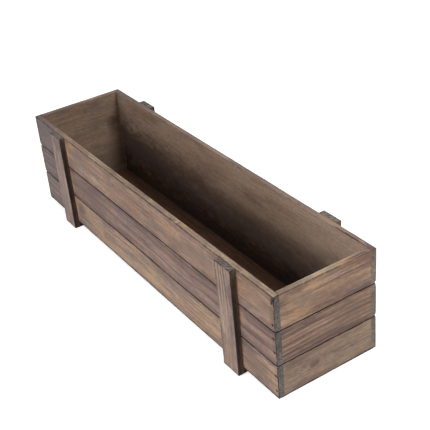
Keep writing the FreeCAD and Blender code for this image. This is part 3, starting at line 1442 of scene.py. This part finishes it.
RIGHT_FACES = {
    Row.BOTTOM: replace(
        END_TAN, body=(123, 102, 87), pale=(145, 123, 104), smoke=(114, 104, 94), seed=22.6,
        ring_depth=0.2, streak_cover=0.15, smoke_amount=0.6, warm_amount=0.3, knot=(0.0205, 0.0),
        knot_size=0.0045),
    Row.MIDDLE: replace(
        END_STRIPED, body=(120, 96, 84), pale=(142, 117, 99), dark=(72, 53, 52), seed=24.9,
        ring_depth=0.7, streak_cover=0.7, streak_depth=0.5, warm_amount=0.4, gleam_depth=0.4,
        marks=(Mark(22, 16, 25, 5, (86, 66, 64), 0.6), Mark(-32, 0, 36, 24, (102, 81, 73), 0.6))),
    Row.TOP: replace(
        END_TAN, body=(122, 98, 84), pale=(164, 136, 110), warm=(190, 144, 102), dark=(80, 60, 56), seed=26.3,
        streak_cover=0.5, streak_depth=0.5, warm_amount=0.55, scorch_amount=0.6,
        marks=(
            Mark(18, 16, 16, 7, (190, 152, 112), 0.4), Mark(45, 18, 12, 6, (96, 76, 74), 0.5),
            Mark(-42, -20, 28, 5, (84, 66, 66), 0.6), Mark(35, 0, 20, 12, (122, 106, 90), 0.6))),
}
FRONT_BATTENS = {
    "batten_front_left": replace(
        TAN, body=(131, 109, 102), pale=(168, 145, 132), warm=(160, 134, 116), seed=33.0,
        # The pale mark along the right edge of the face is a painted edge highlight.
        marks=(Mark(60, 4, 14, 8, (96, 84, 86), 0.6), Mark(-16, 11, 56, 6, (186, 166, 154), 0.4))),
    "batten_front_right": replace(
        STRIPED, body=(128, 106, 95), pale=(159, 136, 121), dark=(62, 47, 48), seed=35.5, pitch=0.0052,
        ring_depth=1.0, rings_shown=(-0.01, 0.04), streak_depth=0.35,
        # The pale mark along the right edge of the face is a painted edge highlight.
        marks=(Mark(-34, 14, 70, 5, (172, 148, 132), 0.3),)),
}
BACK_BATTENS = {
    "batten_back_left": replace(TAN, body=(138, 116, 104), seed=37.1),
    "batten_back_right": replace(STRIPED, body=(136, 114, 102), seed=39.8),
}
# Painted shade: the sides of the front battens are stained dark for the shade that they stand in, and the
# mark lightens the half next to the plank with painted light thrown back from it.
SHADED_BATTEN_SIDE = replace(
    TAN, body=(60, 49, 46), pale=(77, 63, 57), warm=(80, 62, 51), dark=(34, 27, 25), smoke=(57, 50, 49),
    streak_cover=0.6, marks=(Mark(0, 0, WHOLE, WHOLE, (122, 93, 71), out=-4.2, thick=4.4),))
# A lighter copy of the painted-shade batten sides, with less painted shade, for the back battens.
BACK_BATTEN_SIDE = replace(
    SHADED_BATTEN_SIDE, body=(98, 82, 74), pale=(120, 102, 92), warm=(118, 94, 78), dark=(62, 50, 46),
    smoke=(92, 80, 76), marks=())
BATTEN_WEAR = Wear(inner_top=0.3 * MM, inner_bottom=0.3 * MM, butted=True, butt_loss=0.6)
BATTEN_HOLES = NailHoles("batten_pins", 0.5 * MM, 0.9 * MM)
RUNNERS = {
    "runner_left": replace(END_TAN, body=(118, 98, 88), pale=(146, 124, 110), seed=53.0),
    "runner_right": replace(END_STRIPED, body=(122, 101, 90), pale=(148, 126, 112), seed=55.0),
}
# The sides and ends of the runners take the painted shade of the batten sides, without its pale band.
SHADED_RUNNER_SIDE = replace(SHADED_BATTEN_SIDE, scorched_ends=False, marks=())
RUNNER_WEAR = Wear(outer_top=0.7 * MM, outer_bottom=0.7 * MM, butted=True)
RUNNER_HOLES = NailHoles("runner_brads", 1.75 * MM, 1.2 * MM)
INSIDE = replace(
    TAN, body=(115, 96, 83), pale=(143, 122, 106), warm=(140, 112, 90), dark=(78, 62, 54),
    smoke=(112, 98, 87), scorched=False, ring_depth=0.2, wander=0.09, pitch=0.007, streak_cover=0.1,
    streak_depth=0.2, fibre_depth=0.2, hair_depth=0.2, gleam_depth=0.2, bump=0.15)
INSIDES = {
    Wall.FRONT: replace(INSIDE, seed=41.0),
    # Painted light and shade on the inside of the back wall: the greying mix, which takes the pale smoke
    # colour, lightens the right part; the pale band at the top lightens the top; the marks in (60, 51, 46)
    # darken the left end and the middle height; and the two lowest bands make the wall darker and greyer
    # towards the bottom.
    Wall.BACK: replace(
        INSIDE, seed=42.0, body=(117, 97, 83), pale=(148, 125, 107), smoke=(167, 144, 127), smoke_amount=0.3,
        grey=(0.06, 0.3), grey_amount=0.85, streak_depth=0.12, fibre_depth=0.12, hair_depth=0.1,
        gleam_depth=0.12,
        marks=(
            Mark(0, 54, 120, 16, (150, 128, 110), 0.35), Mark(-170, 48, 12, 10, (136, 116, 100), 0.45),
            Mark(-129, 51, 14, 9, (136, 116, 100), 0.4), Mark(-155, 59, 22, 10, (152, 132, 114), 0.5),
            Mark(140, 48, 40, 14, (92, 77, 68), 0.25), Mark(205, 35, 28, 9, (174, 152, 134), 0.4),
            Mark(205, 17, 30, 12, (146, 128, 112), 0.45), Mark(-300, 35, 60, 50, (60, 51, 46), 0.35),
            Mark(0, 3, WHOLE, 17, (60, 51, 46), 0.15), Mark(90, 3, 215, 18, (60, 51, 46), 0.3),
            Mark(-225, -9, 150, 46, (60, 51, 46), 0.68), Mark(0, -26, WHOLE, 28, (98, 87, 88), 0.65),
            Mark(0, -72, WHOLE, 46, (60, 55, 57), 0.85))),
    Wall.LEFT_END: replace(
        INSIDE, seed=43.0, body=(124, 103, 87), pale=(150, 127, 108),
        # Painted light: the pale patch low by the back corner and the thin pale line along the back edge.
        marks=(
            Mark(50, 23, 12, 18, (70, 62, 56)), Mark(25, 61, 18, 8, (96, 90, 88), 0.5),
            Mark(-35, 68, 16, 6, (92, 84, 80), 0.4), Mark(44, -26, 24, 44, (158, 134, 114), 0.5),
            Mark(65, -10, 2.6, 90, (180, 156, 132), 0.7))),
    Wall.RIGHT_END: replace(INSIDE, seed=44.0),
}
RIM = replace(
    TAN, body=(150, 128, 109), pale=(176, 152, 128), warm=(188, 151, 112), dark=(96, 74, 64), seed=45.0,
    reach=0.0012)
RIMS = {
    # The front rim turns greyer towards the left end too: painted shade.
    Wall.FRONT: replace(
        RIM, smoke=(104, 95, 96), grey=(0.19, 0.26), grey_amount=0.85,
        marks=(Mark(-105.5, 24, 3.4, 9, (196, 162, 124), 0.6), Mark(-109, 24, 2, 9, (84, 62, 50)))),
    Wall.BACK: replace(
        RIM, body=(134, 115, 103), pale=(157, 136, 121), warm=(160, 130, 106), seed=46.0,
        marks=(
            Mark(232, 24, 42, 50, (166, 136, 110), 0.6), Mark(301, 24, 17, 50, (88, 68, 68), 0.85),
            Mark(278, 24, 30, 50, (92, 68, 62), 0.8, out=3.4, thick=3.2),
            Mark(-290, 24, 110, 50, (100, 90, 88), 0.75),
            Mark(-60, 24, 320, 50, (76, 60, 52), out=-4, thick=2.4),
            Mark(172, 24, 6, 50, (86, 62, 50), 0.7, out=-3.5, thick=3),
            Mark(266, 24, 36, 50, (38, 20, 19), 1.0, out=-3.2, thick=3))),
    Wall.LEFT_END: replace(RIM, body=(120, 105, 98), smoke=(106, 97, 98), smoke_amount=0.9, seed=47.0),
    Wall.RIGHT_END: replace(
        RIM, body=(166, 143, 122), pale=(194, 170, 144), warm=(198, 162, 124), warm_amount=0.6, seed=48.0,
        reach=0.0018, scorch_amount=0.7,
        marks=(
            Mark(-30, 24, 18, 50, (194, 150, 114), 0.5), Mark(-64, 24, 12, 50, (112, 90, 84), 0.6),
            Mark(-46, 24, 26, 50, (88, 70, 66), 0.9, out=1, thick=2.4))),
}
END_GRAIN = replace(
    TAN, body=(85, 78, 74), pale=(113, 105, 100), warm=(108, 96, 86), dark=(54, 49, 48), smoke=(85, 82, 80),
    pith=(-0.03, 0.02), pitch=0.004, ring_depth=0.5, fibre_depth=0.5, mottle_depth=1.6, reach=0.0009)
END_GRAINS = {
    Wall.FRONT: replace(END_GRAIN, marks=(Mark(-304.8, 22, 9, 4, (38, 31, 28), 0.8, out=4, thick=3.5),)),
    Wall.BACK: replace(END_GRAIN, body=(112, 102, 90), pale=(140, 127, 112), smoke=(112, 106, 102)),
}
BATTEN_TOP = replace(
    END_GRAIN, body=(120, 106, 95), pale=(166, 150, 132), dark=(52, 46, 42), smoke=(98, 87, 80),
    pith=(0.045, 0.04), pitch=0.0042, ring_depth=0.95, reach=0.0006, scorch_amount=0.6)
FRONT_BATTEN_TOP = replace(
    BATTEN_TOP, body=(91, 82, 79), pale=(140, 126, 117), smoke=(82, 74, 73), fibre_depth=0.7)
FLOOR = replace(
    TAN, body=(104, 73, 56), pale=(120, 87, 66), warm=(118, 82, 58), dark=(60, 40, 31), smoke=(84, 66, 56),
    scorched=False, ring_depth=0.3, seed=51.0, wander=0.06, pitch=0.006)


def main() -> None:
    """Builds the planter box piece by piece and sets the studio."""
    logging.basicConfig(level=logging.INFO, format="%(name)s %(message)s")
    assemblies = [
        PlankWall(Wall.FRONT, Facing.FRONT, FRONT_FACES, long=True, chips=(RIM_CHIP,)),
        PlankWall(Wall.BACK, Facing.BACK, BACK_FACES, long=True),
        PlankWall(Wall.LEFT_END, Facing.LEFT, LEFT_FACES, long=False),
        PlankWall(Wall.RIGHT_END, Facing.RIGHT, RIGHT_FACES, long=False),
        Strips(Facing.FRONT_UPRIGHT, FRONT_BATTENS, BATTEN_HOLES, BATTEN_WEAR, FRONT_BATTEN_TOP, SHADED_BATTEN_SIDE),
        Strips(Facing.BACK_UPRIGHT, BACK_BATTENS, BATTEN_HOLES, BATTEN_WEAR, BATTEN_TOP, BACK_BATTEN_SIDE),
        Strips(Facing.RUNNER, RUNNERS, RUNNER_HOLES, RUNNER_WEAR, SHADED_RUNNER_SIDE, SHADED_RUNNER_SIDE),
        CarriedPieces(FLOOR, NailSteel()),
        Studio(),
    ]
    for assembly in assemblies:
        assembly.build()


if __name__ == "__main__":
    main()
